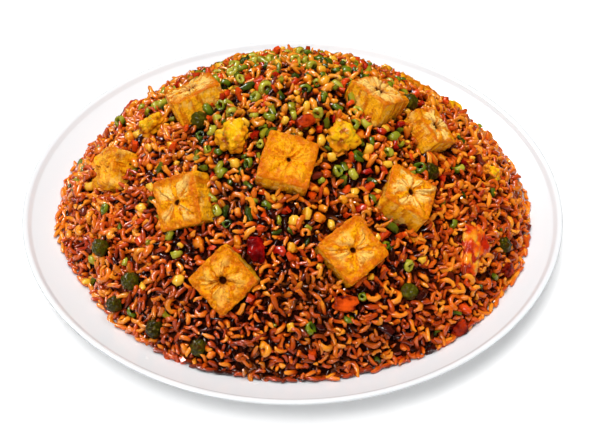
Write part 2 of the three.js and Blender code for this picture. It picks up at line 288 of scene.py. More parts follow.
def plate_top(radius):
    climb = max(0.0, (radius - WELL_RADIUS) / (PLATE_RADIUS - WELL_RADIUS))
    return WELL_HEIGHT + (PLATE_HEIGHT - WELL_HEIGHT) * climb ** BOWING


def rounded(profile, radius, steps=5):
    """The profile with each inner corner cut back by up to `radius` and rounded."""
    smooth = [Vector(profile[0])]
    for before, corner, after in zip(profile, profile[1:], profile[2:]):
        before, corner, after = Vector(before), Vector(corner), Vector(after)
        back = min(radius, (before - corner).length / 2.2)
        ahead = min(radius, (after - corner).length / 2.2)
        start = corner + (before - corner).normalized() * back
        end = corner + (after - corner).normalized() * ahead
        for k in range(steps + 1):
            t = k / steps
            smooth.append(start * (1 - t) ** 2 + corner * 2 * t * (1 - t) + end * t ** 2)
    return smooth + [Vector(profile[-1])]


def shell_faces(rings, steps):
    """The faces of a closed shell of points: a pole, `rings` rings of `steps` points that run
    outwards and down from it, and a pole underneath."""
    faces = [(0, 1 + k, 1 + (k + 1) % steps) for k in range(steps)]
    for ring in range(rings - 1):
        near, far = 1 + ring * steps, 1 + (ring + 1) * steps
        for k in range(steps):
            after = (k + 1) % steps
            faces.append((near + k, far + k, far + after, near + after))
    ring, pole = 1 + (rings - 1) * steps, 1 + rings * steps
    return faces + [(ring + k, pole, ring + (k + 1) % steps) for k in range(steps)]


def turned(profile, steps):
    """Points and faces of a closed shape turned about Z from a profile of (radius, height), which runs
    from the middle of its underside out and back to the middle of its top."""
    points = [(0, 0, profile[0][1])]
    for radius, height in profile[1:-1]:
        for k in range(steps):
            angle = 2 * math.pi * k / steps
            points.append((radius * math.cos(angle), radius * math.sin(angle), height))
    points.append((0, 0, profile[-1][1]))
    return points, [face[::-1] for face in shell_faces(len(profile) - 2, steps)]


plate_edge = PLATE_RADIUS - RIM_BAND
under_start = FOOT_OUTER_RADIUS + 2
under_steps, over_steps = 12, 22
flat_rings = (20, 50)  # where the flat middle is divided, so that its faces stay short
plate_profile = [(0, FOOT_RECESS)] + [(radius, FOOT_RECESS) for radius in flat_rings]
plate_profile += [(FOOT_INNER_RADIUS - 1, FOOT_RECESS), (FOOT_INNER_RADIUS, 0), (FOOT_OUTER_RADIUS, 0),
                  (under_start, WELL_HEIGHT - PLATE_THICKNESS)]
for k in range(1, under_steps + 1):
    radius = under_start + (plate_edge - under_start) * k / under_steps
    plate_profile.append((radius, plate_top(radius) - PLATE_THICKNESS))
for inset, drop in ((1, 2.4), (0, 1.5), (0, 0.5), (1, 0), (2.6, 0.4)):  # the rolled edge, in lips
    plate_profile.append((PLATE_RADIUS - inset * LIP, PLATE_HEIGHT - drop * LIP))
plate_profile.append((plate_edge - 0.6, plate_top(plate_edge - 0.6)))
for k in range(1, over_steps):
    radius = plate_edge + (WELL_RADIUS - plate_edge) * k / over_steps
    plate_profile.append((radius, plate_top(radius)))
plate_profile += [(radius, WELL_HEIGHT) for radius in (WELL_RADIUS, *reversed(flat_rings), 0)]

porcelain = Finish("porcelain", Roughness=0.2, Specular_IOR_Level=0.4, Coat_Weight=0.3, Coat_Roughness=0.1)
glaze = porcelain.noise(porcelain.place, 40, detail=3)
porcelain.set("Base Color", porcelain.mix(glaze, "#e2e4e6", "#e5e7e9"))
porcelain.set("Roughness", 0.2 + 0.1 * porcelain.noise(porcelain.place, 9))
porcelain.bump(porcelain.noise(porcelain.place, 24, detail=1), depth=0.05, strength=0.3)

plate_points, plate_faces = turned(rounded(plate_profile, 0.6, 3), PLATE_STEPS)
plate = piece_of("plate_smooth", plate_points, plate_faces, porcelain)
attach(plate, "root")
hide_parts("plate")

# ---------------------------------------------------------------- the bed of the heap
# Rice pressed together inside the heap. It only shows as the ground between the grains, and its near-black
# colour, lighter on the flanks, is painted shade for the gaps between them. It was tipped out on the plate in
# one dome, so its surface is uneven.

HEAP_HALF_LENGTH = 119
HEAP_HALF_WIDTH = 113
HEAP_SHIFT = 1
HEAP_TOP = 104
HEAP_SHOULDER = 1.55
HEAP_WALL = 1.2
BED_SINK = 4.9  # how far the bed lies under the backs of the grains
BED_RINGS = 120
BED_STEPS = 320
WALK_STEPS = 400
GAP = 0.3
PUSH_ANGLE = 28  # where the left front was pushed in: degrees from the left, how wide, and how far
PUSH_SPREAD = 24
PUSH_SHARE = 0.036


def reach_of(x, y):
    """How far (x, y) is from the middle of the heap: 0 in the middle and 1 at its foot."""
    return math.hypot(x / HEAP_HALF_LENGTH, (y - HEAP_SHIFT) / HEAP_HALF_WIDTH)


def heap_height(x, y):
    reach = max(reach_of(x, y), 1e-6)
    foot = plate_top(math.hypot(x / reach, (y - HEAP_SHIFT) / reach + HEAP_SHIFT)) + 1.2 * GAP
    inside = min(reach, 1.0)
    return foot + (HEAP_TOP - foot) * (1 - inside ** HEAP_SHOULDER) ** (1 / HEAP_WALL)


def heap_normal(x, y):
    step = 0.5
    along_x = heap_height(x + step, y) - heap_height(x - step, y)
    along_y = heap_height(x, y + step) - heap_height(x, y - step)
    return Vector((-along_x, -along_y, 2 * step)).normalized()


def soft_step(value, start, end):
    t = min(max((value - start) / (end - start), 0), 1)
    return t * t * (3 - 2 * t)


def drawn_in(x, y):
    """The share of its distance that the heap's left front, where it was pushed in, keeps."""
    off_corner = math.atan2(-y, -x) - math.radians(PUSH_ANGLE)
    return 1 - PUSH_SHARE * math.exp(-(off_corner / math.radians(PUSH_SPREAD)) ** 2) * reach_of(x, y) ** 2


def bed_point(reach, angle):
    """A point of the bed: the smooth dome, sunk and made uneven by clumps and by grains, and
    settled a little towards its top and on the left."""
    x = reach * HEAP_HALF_LENGTH * math.cos(angle)
    y = HEAP_SHIFT + reach * HEAP_HALF_WIDTH * math.sin(angle)
    point = Vector((x, y, heap_height(x, y)))
    clumps = noise.noise(point / 12) * 2.4 + noise.noise(point / 6) * 1.8
    grains = noise.noise(point / 2.1) * 0.8
    settled = 1.8 * soft_step(point.z, 35, 70) + 1.6 * soft_step(-x, 50, 95)
    point += heap_normal(x, y) * (clumps + grains - settled - BED_SINK)
    point.x, point.y = point.x * drawn_in(x, y), point.y * drawn_in(x, y)
    point.z = max(point.z, plate_top(math.hypot(point.x, point.y)) + GAP)
    return point


# the rings are closest together on the steep side, so that the bed's faces are about square
walk = np.linspace(0, 1, WALK_STEPS)
rise = np.array([heap_height(reach * HEAP_HALF_LENGTH, HEAP_SHIFT) for reach in walk])
travel = np.concatenate([[0], np.cumsum(np.hypot(np.diff(walk * HEAP_HALF_LENGTH), np.diff(rise)))])
bed_reaches = np.interp(np.linspace(0, travel[-1], BED_RINGS + 1)[1:], travel, walk)

bed_points = [bed_point(0, 0)]
for reach in bed_reaches:
    bed_points += [bed_point(reach, 2 * math.pi * k / BED_STEPS) for k in range(BED_STEPS)]
under_radius = WELL_RADIUS - 1
for k in range(BED_STEPS):
    angle = 2 * math.pi * k / BED_STEPS
    bed_points.append((under_radius * math.cos(angle), under_radius * math.sin(angle), WELL_HEIGHT + GAP))
bed_points.append((0, 0, WELL_HEIGHT + GAP))
bed_faces = shell_faces(BED_RINGS + 1, BED_STEPS)

bed_finish = Finish("rice_bed", Roughness=0.7, Specular_IOR_Level=0.05)
bed_mottle = bed_finish.noise(bed_finish.place, 3, detail=3)
# painted shade: the bed is near black so that the gaps between grains read dark, and it is lighter on the
# flanks
bed_painted_shade = bed_finish.ramp(bed_mottle, [(0.35, "#160401"), (0.55, "#300c03"), (0.72, "#5a2006")])
bed_flank = bed_finish.step(bed_finish.absolute(bed_finish.split(bed_finish.place)), 40 * MM, 90 * MM)
bed_finish.set("Base Color", bed_finish.mix(bed_flank * 0.6, bed_painted_shade, "#7c3006"))
bed_finish.set("Roughness", 0.6 + 0.3 * bed_mottle)
bed_finish.bump(bed_finish.noise(bed_finish.place, 1.6), depth=0.5)

bed = piece_of("rice_bed", bed_points, bed_faces, bed_finish)
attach(bed, "root")
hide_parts("rice_heap")

heap_of_things = bpy.data.collections.new("on_the_heap")


def lay_on_heap(piece):
    """Counts the piece among those that what is scattered later keeps clear of."""
    heap_of_things.objects.link(piece)


# ---------------------------------------------------------------- paneer cubes
# Slabs of pressed curd cheese, fried until golden. Their faces shrank round a pin-hole into pleats, which
# stayed pale on their crests and browned along the edges; the slits in the creases and the pin-hole are
# painted darker, as shade.

PANEER_DEPTH = 14
PANEER_EDGE = 1.0  # how rounded the fried edges are
DISH_DEPTH = 0.8  # how far the face sags towards its middle
PIN_DEPTH = 3
SQUARENESS = 15
PANEER_STEPS = 208
FACE_RINGS = 36
EDGE_RINGS = 5
SIDE_RINGS = 9
PLEATS = 9
SLITS = 14
PANELS = 4

# where each cube's middle is over the heap, how it leans and turns, and how its face was fried
PANEER_SPOTS = [
    dict(at=(-2, -41), lean=26, towards=-74, spin=-13, side=25, hole=1.1, cream=0.45, folds=0.9, panels=20),
    dict(at=(-53, -47), lean=56, towards=-134, spin=-3, side=25, hole=1.3, cream=0.9, folds=1.1, panels=35),
    dict(at=(55, -43), lean=28, towards=-20, spin=-13, side=24, hole=1.5, cream=1.2, folds=1.1, panels=10),
    dict(at=(28, -72), lean=36, towards=-72, spin=44, side=25, hole=1.4, cream=0.8, folds=1.1, panels=0),
    dict(at=(-32, -81), lean=52, towards=-105, spin=39, side=24.5, hole=2.0, cream=0.7, folds=1.5, panels=50),
    dict(at=(-48, 12), lean=31, towards=139, spin=19, side=25, hole=2.3, cream=1.6, folds=0.9, panels=0),
    dict(at=(41, 5), lean=29, towards=34, spin=-37, side=23.5, hole=2.6, cream=1.6, folds=0.9, panels=45),
    dict(at=(68, 1), lean=44, towards=5, spin=42, side=20.5, hole=1.9, cream=1.2, folds=0.9, panels=15),
    dict(at=(-90, -6), lean=60, towards=-159, spin=-32, side=18,
         hole=0, cream=0.6, folds=1.6, panels=30, crumple=1.0),
    dict(at=(-24, 82), spin=15, proud=0, side=24, hole=1.2, cream=0.7, folds=1.0, panels=15),
    dict(at=(24, 100), lean=46, towards=70, spin=60, proud=1,
         side=25, hole=1.6, cream=1.0, folds=1.0, panels=40),
    dict(at=(-60, 86), spin=35, proud=0.5, side=23, hole=1.3, cream=0.5, folds=0.9, panels=70),
    dict(at=(62, 74), spin=10, proud=0.3, side=24, hole=1.5, cream=0.8, folds=1.1, panels=5),
]


def lying(at, depth, proud=3.5, lean=None, towards=0, spin=0):
    """The matrix of a piece at (x, y) whose top stands `proud` over the heap. It faces straight out
    of the heap, or leans that many degrees from upright in the direction `towards`."""
    x, y = at
    facing = heap_normal(x, y)
    if lean is not None:
        tilt, bearing = math.radians(lean), math.radians(towards)
        level = math.sin(tilt)
        facing = Vector((level * math.cos(bearing), level * math.sin(bearing), math.cos(tilt)))
    turn = Vector((0, 0, 1)).rotation_difference(facing) @ Quaternion((0, 0, 1), math.radians(spin))
    middle = Vector((x, y, heap_height(x, y))) + facing * (proud - depth / 2)
    return Matrix.Translation(middle) @ turn.to_matrix().to_4x4()


def placed(points, matrix):
    """The points put in their place, and up off the plate where they would sink into it."""
    moved = [matrix @ Vector(p) for p in points]
    lift = max(0, max(plate_top(math.hypot(p.x, p.y)) + 1.5 * GAP - p.z for p in moved))
    return [p + Vector((0, 0, lift)) for p in moved]


def fried_slab(spot, seed):
    """Points and faces of one cube round its own middle, and how much of a pale panel, and of a slit
    in one, there is at each point. `hole` is the radius of its pin-hole, the first of its four pale
    panels points to the angle `panels`, and a `cream` above 1 widens them."""
    half, depth, top = spot["side"] / 2, PANEER_DEPTH, PANEER_DEPTH / 2
    hole, folds, crumple = spot["hole"], spot["folds"], spot.get("crumple", 0.0)
    wide = max(0.0, spot["cream"] - 1)
    edge = PANEER_EDGE * (1 + 2 * crumple)
    rings = []  # (share of the half side, height, how much of the face's relief it takes)
    for k in range(1, FACE_RINGS + 1):
        rings.append(((half - edge) / half * k / FACE_RINGS, top, 1.0))
    for k in range(1, EDGE_RINGS + 1):
        turn = math.pi / 2 * k / EDGE_RINGS
        share = (half - edge * (1 - math.sin(turn))) / half
        rings.append((share, top - edge * (1 - math.cos(turn)), 1 - k / EDGE_RINGS))
    for k in range(1, SIDE_RINGS + 1):
        rings.append((1.0, top - edge + (edge - depth + 1.5) * k / SIDE_RINGS, 0.0))
    rings += [(0.97, -top + 0.4, 0.0), (0.9, -top, 0.0), (0.5, -top, 0.0)]
    phase = seed * 2.4
    points = [(0, 0, top - DISH_DEPTH - (PIN_DEPTH - DISH_DEPTH) * (1 - crumple))]
    pale_of, slit_of = [crumple], [0.0]
    for share, height, relief in rings:
        for k in range(PANEER_STEPS):
            angle = 2 * math.pi * k / PANEER_STEPS
            way = (math.cos(angle), math.sin(angle))
            square = (abs(way[0]) ** SQUARENESS + abs(way[1]) ** SQUARENESS) ** (-1 / SQUARENESS)
            round_to_square = 1 + (square - 1) * soft_step(share, 0.05, 0.45)
            wavy = (0.06 + 0.2 * crumple) * noise.noise((way[0] * 1.3, way[1] * 1.3, phase))
            swell = 1 + wavy * soft_step(share, 0.1, 0.5)
            radius = half * share * round_to_square * swell * (1 + 0.035 * (height / depth - 0.5))
            x, y = radius * way[0], radius * way[1]
            wander = noise.noise((x / 6, y / 6, phase + 3))
            pleat = math.cos(PLEATS * angle + 3 * wander + phase)
            from_panel = PANELS * (angle - math.radians(spot["panels"])) + 2.2 * wander
            panel = soft_step(math.cos(from_panel) + wide, -0.7, 0.1)
            some = soft_step(noise.noise((way[0] * 3, way[1] * 3, phase + share)), -0.15, 0.25)
            slit = some * (1 - abs(math.cos(SLITS * (angle + 0.12 * wander) + phase)) ** 0.8)
            reach = 0.8 + 0.22 * wide + 0.3 * noise.noise((way[0] * 2.2, way[1] * 2.2, phase + 8))
            window = soft_step(share, 0.14, 0.26) * (1 - soft_step(share, reach - 0.2, reach + 0.04))
            fold = window * (0.3 * (1 - panel) + panel * (0.5 - 0.75 * slit) + 0.5 * pleat)
            dish = -DISH_DEPTH * (1 - soft_step(share, 0.1, 0.8))
            in_hole = 1 - soft_step(share * half, 0.5 * hole, hole + 0.1)
            dent = (crumple - 1) * (PIN_DEPTH - DISH_DEPTH) * in_hole
            rough = 0.4 * noise.noise((x / 1.3, y / 1.3, phase))
            rough += 1.2 * noise.noise((x / 3.8, y / 3.8, phase + 5))
            z = height + relief * (folds * (1.25 * fold + rough) + dish + dent)
            if relief == 0:
                streak = 0.45 * noise.noise((x / 1.8, y / 1.8, height / 9 + phase))
                dimple = 0.5 * noise.noise((x / 4.5, y / 4.5, height / 4.5 + phase))
                out = 1 + (streak + dimple) / half
                x, y = x * out, y * out
            bulge = 1 + 0.3 * crumple * noise.noise((x / 7, y / 7, z / 7 + phase))
            points.append((x * bulge, y * bulge, z * bulge))
            pale_of.append(max(window * panel, crumple))
            slit_of.append(window * panel * slit * (1 - crumple))
    points.append((0, 0, -top))
    pale_of.append(0.0)
    slit_of.append(0.0)
    return points, shell_faces(len(rings), PANEER_STEPS), pale_of, slit_of


def store(piece, name, values, kind="FLOAT"):
    """Keeps one value for each point of the piece as an attribute that its finish can read."""
    layer = piece.data.attributes.new(name, kind, "POINT")
    flat = np.array(values, np.float32).ravel()
    layer.data.foreach_set("value" if kind == "FLOAT" else "vector", flat)


fried = Finish("fried_paneer", Roughness=0.4, Specular_IOR_Level=0.06)
slab = fried.attribute("slab", "Vector")
slab_x = fried.split(slab)
slab_y, slab_z = slab_x.also("Y"), slab_x.also("Z")
across = fried.larger(fried.absolute(slab_x), fried.absolute(slab_y))
from_hole = (slab_x * slab_x + slab_y * slab_y) ** 0.5
drawn_out = fried.vector("MULTIPLY", slab, (12 * MM, 12 * MM, 1.5 * MM))
streaks = fried.noise(drawn_out, 2.2, detail=3)
blots = fried.noise(fried.place, 5, detail=4, roughness=0.65)
mottle = fried.noise(fried.place, 2.6, detail=3, roughness=0.6)
specks = fried.noise(fried.place, 1.0, detail=2)
on_face = fried.larger(fried.step(slab_z, 0.88, 0.97), 1 - fried.step(from_hole, 0.3, 0.4))
skin = fried.mix(fried.step(mottle, 0.4, 0.57), "#d47002", "#fcac0a")
flank = fried.mix(fried.step(streaks, 0.34, 0.6), "#cc6a04", "#f8aa12")
flank = fried.mix(fried.step(blots, 0.5, 0.66) * 0.7, flank, "#f2be5c")
skin = fried.mix(on_face, flank, skin)
creaminess = fried.attribute("cream")
unbroken = fried.step(blots + 0.3 * (specks - 0.5), 0.36, 0.5)
pale = fried.attribute("pale") * creaminess * on_face * unbroken
cream = fried.mix(fried.step(creaminess, 0.4, 1.0), "#fab422", "#f8cc6c")
skin = fried.mix(pale, skin, cream)
browned = fried.step(mottle + 0.25 * fried.step(across, 0.5, 0.95), 0.56, 0.72) * on_face * (1 - 0.8 * pale)
skin = fried.mix(browned * 0.55, skin, "#c05202")
scorched = fried.step(blots, 0.5, 0.6) * fried.step(across, 0.5, 0.9) * on_face
skin = fried.mix(scorched * 0.55, skin, "#c44a02")
# painted shade: the slits in the pale panels are coloured darker brown
slit_shade = fried.step(fried.attribute("slit") * creaminess, 0.2, 0.6) * on_face
skin = fried.mix(slit_shade * 0.5, skin, "#9c4c04")
edge_line = fried.step(across + 0.3 * (blots - 0.5), 0.9, 1.0) * fried.step(slab_z, 0.8, 0.93)
skin = fried.mix(edge_line * 0.6, skin, "#cc6002")
skin = fried.mix(fried.step(specks, 0.6, 0.72) * 0.45, skin, "#ac4a04")
to_hole = from_hole / (fried.attribute("hole") + 0.001)  # 1 at the hole's edge
hole_rim = (1 - fried.step(to_hole + 1.6 * (mottle - 0.5), 1.0, 2.2)) * on_face
skin = fried.mix(hole_rim * 0.7, skin, "#a84e06")
# painted shade: the pin-hole is coloured near black
skin = fried.mix((1 - fried.step(to_hole, 0.8, 1.15)) * on_face, skin, "#3c1404")
fried.set("Base Color", skin)
fried.set("Roughness", 0.16 + 0.2 * blots)
fried.bump(0.6 * specks + 0.8 * mottle, depth=1.1)

for number, spot in enumerate(PANEER_SPOTS, 1):
    lay = {key: spot[key] for key in ("proud", "lean", "towards", "spin") if key in spot}
    points, faces, pale_of, slit_of = fried_slab(spot, number)
    matrix = lying(spot["at"], PANEER_DEPTH, **lay)
    cube = piece_of(f"paneer_cube_{number}", placed(points, matrix), faces, fried)
    half, top = spot["side"] / 2, PANEER_DEPTH / 2
    store(cube, "slab", [(x / half, y / half, z / top) for x, y, z in points], "FLOAT_VECTOR")
    store(cube, "pale", pale_of)
    store(cube, "slit", slit_of)
    store(cube, "cream", [spot["cream"]] * len(points))
    store(cube, "hole", [spot["hole"] / half] * len(points))
    lay_on_heap(cube)
    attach(cube, "root")
    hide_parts(f"paneer_{number}")

# ---------------------------------------------------------------- yellow florets
# Soft florets stained bright yellow by turmeric, with a trace of green herb in their hollows.
# They were stirred in whole and lie half sunk between the grains.

FLORET_SPOTS = [
    dict(at=(-29, -25), proud=4, size=(16, 15, 11)),
    dict(at=(24, -27), proud=4, size=(15, 14, 11)),
    dict(at=(-70, 8), proud=3, size=(13, 10, 9)),
    dict(at=(100, 3), proud=2, size=(11, 10, 8)),
    dict(at=(2, 108), proud=2.5, size=(15, 14, 11)),
    dict(at=(84, 62), proud=2.5, size=(13, 12, 9)),
]


def ball(subdivisions):
    """Points and faces of a round ball one unit across."""
    maker = bpy.data.meshes.new("ball")
    shape = bmesh.new()
    bmesh.ops.create_icosphere(shape, subdivisions=subdivisions, radius=0.5)
    shape.to_mesh(maker)
    shape.free()
    points = [v.co.copy() for v in maker.vertices]
    faces = [tuple(f.vertices) for f in maker.polygons]
    bpy.data.meshes.remove(maker)
    return points, faces


def lump(size, seed, buds, bud_size, creases=0.0, subdivisions=5):
    """A rounded lump with swollen buds, and folds where creases is above 0."""
    points, faces = ball(subdivisions)
    shaped, swollen = [], []
    for p in points:
        way = p * 2
        place = way / bud_size + Vector((seed * 3.7, seed, 0))
        nearest = noise.voronoi(place)[0][0]
        bud = 1 - min(1, nearest / 0.75) ** 2
        fold = noise.noise(place * 0.6 + Vector((0, 0, 7)))
        crumbs = noise.noise(p * 9 + Vector((seed, 0, 0)))
        swell = 1 + buds * (bud - 0.5) + creases * fold + 0.12 * crumbs
        shaped.append(Vector((p.x * size[0], p.y * size[1], p.z * size[2])) * swell)
        swollen.append(bud)
    return shaped, faces, swollen


floret_finish = Finish("yellow_floret", Roughness=0.35, Specular_IOR_Level=0.06,
                       Coat_Weight=0.12, Coat_Roughness=0.08)
bud = floret_finish.attribute("bud")
floret_blots = floret_finish.noise(floret_finish.place, 5, detail=3)
heart = floret_finish.attribute("heart")
# painted shade: darker orange-brown in the hollows between the buds, brighter on their crests
floret_skin = floret_finish.mix(floret_finish.step(bud, 0.15, 0.8), "#9c4804", "#dc8008")
yellow = floret_finish.step(floret_blots, 0.38, 0.56) * (0.35 + 0.6 * heart)
floret_skin = floret_finish.mix(yellow, floret_skin, "#f2b60a")
herb = floret_finish.step(floret_finish.noise(floret_finish.place, 3.2, detail=2), 0.54, 0.64) * heart
floret_skin = floret_finish.mix(herb * 0.4, floret_skin, "#74800c")
floret_finish.set("Base Color", floret_skin)
floret_finish.bump(floret_finish.noise(floret_finish.place, 1.2), depth=0.5)

for number, spot in enumerate(FLORET_SPOTS, 1):
    points, faces, buds = lump(spot["size"], number, buds=0.3, bud_size=0.55, creases=0.3)
    matrix = lying(spot["at"], spot["size"][2], proud=spot["proud"])
    floret = piece_of(f"floret_whole_{number}", placed(points, matrix), faces, floret_finish)
    store(floret, "bud", buds)
    store(floret, "heart", [soft_step(p.z / spot["size"][2], 0.1, 0.42) for p in points])
    lay_on_heap(floret)
    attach(floret, "root")
    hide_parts(f"floret_{number}")

# ---------------------------------------------------------------- tomato pieces
# Torn pieces of cooked tomato: wet, soft, folded flesh, orange where it is thin and red where the skin is.
# They came apart in the pan and lie on the grains under them.

TOMATO_SPOTS = [
    dict(at=(87, -49), spin=85, proud=3, size=(23, 15, 8)),
    dict(at=(-83, 66), spin=130, proud=2.5, size=(17, 12, 8)),
]

tomato_finish = Finish("tomato_flesh", Roughness=0.25, Specular_IOR_Level=0.4,
                       Coat_Weight=0.5, Coat_Roughness=0.12)
tomato_blots = tomato_finish.noise(tomato_finish.place, 7, detail=2)
tomato_skin = tomato_finish.ramp(tomato_blots, [
    (0.34, "#bc2404"), (0.45, "#e05008"), (0.54, "#ee8410"), (0.66, "#f6b030")])
# painted shade: darker red in the hollows between the lumps
tomato_hollow_shade = 1 - tomato_finish.step(tomato_finish.attribute("bud"), 0.0, 0.3)
tomato_finish.set("Base Color", tomato_finish.mix(tomato_hollow_shade, tomato_skin, "#a82404"))
tomato_finish.bump(tomato_finish.noise(tomato_finish.place, 2), depth=0.6)

for number, spot in enumerate(TOMATO_SPOTS, 1):
    points, faces, buds = lump(spot["size"], number + 20, buds=0.32, bud_size=0.45, creases=0.4)
    matrix = lying(spot["at"], spot["size"][2], proud=spot["proud"], spin=spot["spin"])
    tomato = piece_of(f"tomato_torn_{number}", placed(points, matrix), faces, tomato_finish)
    store(tomato, "bud", buds)
    lay_on_heap(tomato)
    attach(tomato, "root")
    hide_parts(f"tomato_{number}")

# ---------------------------------------------------------------- red pepper pieces
# Bent squares cut from the wall of a red pepper, with a tight glossy skin and rounded cut edges.

PEPPER_SPOTS = [
    dict(at=(-17, -73), spin=100, proud=2.4, size=(12, 8, 3.6), orange=0),
    dict(at=(25, -89.5), spin=5, proud=2.2, size=(11, 8, 3.4), orange=1),
    dict(at=(6, -23), spin=20, proud=2, size=(9, 6, 3), orange=0.5),
    dict(at=(80, -81), spin=40, proud=2, size=(9, 7, 3), orange=0.3),
    dict(at=(105, -45), spin=60, proud=2, size=(8, 6, 3), orange=0.3),
    dict(at=(48, 99), spin=30, proud=2, size=(10, 7, 3), orange=0),
    dict(at=(2, 93), spin=80, proud=2, size=(9, 6, 3), orange=0.7),
]

pepper_finish = Finish("red_pepper", Roughness=0.3, Specular_IOR_Level=0.03,
                       Coat_Weight=0.15, Coat_Roughness=0.04)
pepper_blots = pepper_finish.noise(pepper_finish.place, 5, detail=3)
pepper_skin = pepper_finish.ramp(pepper_blots, [(0.35, "#3c0101"), (0.55, "#760304"), (0.74, "#b81606")])
to_orange = pepper_finish.attribute("orange") * pepper_finish.step(pepper_blots, 0.35, 0.65)
pepper_finish.set("Base Color", pepper_finish.mix(to_orange, pepper_skin, "#e0500e"))
pepper_finish.bump(pepper_finish.noise(pepper_finish.place, 2), depth=0.4)


def cut_square(size, seed):
    """A cushion-shaped piece that bends down at both ends and wrinkles a little."""
    points, faces = ball(4)
    shaped = []
    for p in points:
        way = p * 2
        largest = max(abs(way.x), abs(way.y), abs(way.z))
        boxy = way.lerp(way / largest, 0.55)
        dimple = 1 + 0.3 * noise.noise(way * 1.5 + Vector((seed * 5, 0, 0))) + 0.12 * noise.noise(way * 4)
        x = boxy.x * size[0] / 2
        y = boxy.y * size[1] / 2 * (1 - 0.22 * boxy.x ** 2)
        z = boxy.z * size[2] / 2
        shaped.append(Vector((x * dimple, y * dimple, z * dimple - 0.9 * boxy.x ** 2)))
    return shaped, faces


for number, spot in enumerate(PEPPER_SPOTS, 1):
    points, faces = cut_square(spot["size"], number)
    matrix = lying(spot["at"], spot["size"][2], proud=spot["proud"], spin=spot["spin"])
    pepper = piece_of(f"pepper_cut_{number}", placed(points, matrix), faces, pepper_finish)
    store(pepper, "orange", [spot["orange"]] * len(points))
    lay_on_heap(pepper)
    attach(pepper, "root")
    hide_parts(f"pepper_{number}")

# ---------------------------------------------------------------- peas
# Whole green peas, fried until their skins wrinkled and took on some of the sauce's brown.

PEA_DIAMETER = 8.6
PEA_PROUD = 1.6
PEA_SPOTS = [(-87, -70), (-79, -66), (-67, -87), (-45, -99), (-95, -43), (68, -24), (59, 20),
             (56, -79), (105, -34), (-46, -7), (2, 80), (-36, 100), (-20, 104)]

pea_finish = Finish("pea_skin", Roughness=0.3, Specular_IOR_Level=0.06,
                    Coat_Weight=0.25, Coat_Roughness=0.05)
pea_blots = pea_finish.noise(pea_finish.place, 3.4, detail=3)
pea_specks = pea_finish.noise(pea_finish.place, 1.4)
ripeness = pea_finish.attribute("shade")
pea_skin = pea_finish.mix(ripeness, "#201a02", "#444004")
pea_skin = pea_finish.mix(pea_finish.step(pea_specks, 0.5, 0.68) * 0.32, pea_skin, "#84780e")
pea_sauce = pea_finish.step(pea_blots, 0.5, 0.7)
pea_finish.set("Base Color", pea_finish.mix(pea_sauce * 0.7, pea_skin, "#44200a"))
pea_finish.bump(pea_finish.noise(pea_finish.place, 1.8), depth=0.5)

for number, at in enumerate(PEA_SPOTS, 1):
    diameter = PEA_DIAMETER - abs(at[0] * 7 + at[1] * 3) % 10 / 10
    points, faces = ball(4)
    points = [p * diameter * (1 + 0.22 * noise.noise(p * 5 + Vector((number * 4, 0, 0)))) for p in points]
    matrix = lying(at, diameter, proud=PEA_PROUD)
    pea = piece_of(f"pea_whole_{number}", placed(points, matrix), faces, pea_finish)
    store(pea, "shade", [(number * 0.37) % 1] * len(points))
    lay_on_heap(pea)
    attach(pea, "root")
    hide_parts(f"pea_{number}")

# ---------------------------------------------------------------- small vegetables
# Finely cut vegetables stirred through the rice: rings of spring onion, slices of green bean,
# strips of pepper, dice of carrot and dark beans. They are thickest near the top of the heap.

CROWDED_FROM = 42  # heights between which the small things get crowded
CROWDED_TO = 86


def share_of(points, rule):
    """One share from 0 to 1 for each point, from a rule on its place in millimetres."""
    return [max(0.0, min(1.0, rule(Vector(p)))) for p in points]


def at_top(p):
    crowd = soft_step(p.z, CROWDED_FROM, CROWDED_TO)
    return 0.05 + 0.95 * crowd * (0.75 + 0.5 * noise.noise(p / 14))


def everywhere(p):
    return 1.0


def on_flanks(p):
    return 0.25 + 0.75 * soft_step(abs(p.x), 35, 80)


dome_points = bed_points[:-BED_STEPS - 1]
dome_faces = [face for face in bed_faces if max(face) < len(dome_points)]
dome = piece_of("dome", dome_points, dome_faces)
for where, rule in {"at_top": at_top, "everywhere": everywhere, "on_flanks": on_flanks}.items():
    store(dome, where, share_of(dome_points, rule))

SCATTER_LENGTHS = ("Spacing", "Room", "Lift", "Lift spread", "Length", "Width", "Wiggle", "Crumple")
SCATTER_NUMBERS = ("Tilt", "Along rim", "Least size", "Most size", "Least shade", "Most shade")
SCATTER_INPUTS = {"Bed": "Geometry", "Already there": "Collection", "Where": "String"}
SCATTER_INPUTS |= {label: "Float" for label in SCATTER_LENGTHS + SCATTER_NUMBERS}
SCATTER_INPUTS |= {"Seed": "Int", "Finish": "Material"}
DRAWS_KEPT = 16  # seeds set aside for each scatter, so that none shares a draw with the next
TRIES = 2.5  # points tried for each square of the spacing
DENT_SIZE = 2.4
WAVE_CREST = 2.6  # brings the crests of x - x ** 3 to 1
# the painted shade on a skin is darkest at the first of these heights and turns to painted light at the
# second
DEEP, CLEAR = 1.0, 5.2  # heights over the bed at which a skin counts as deep down and as on top


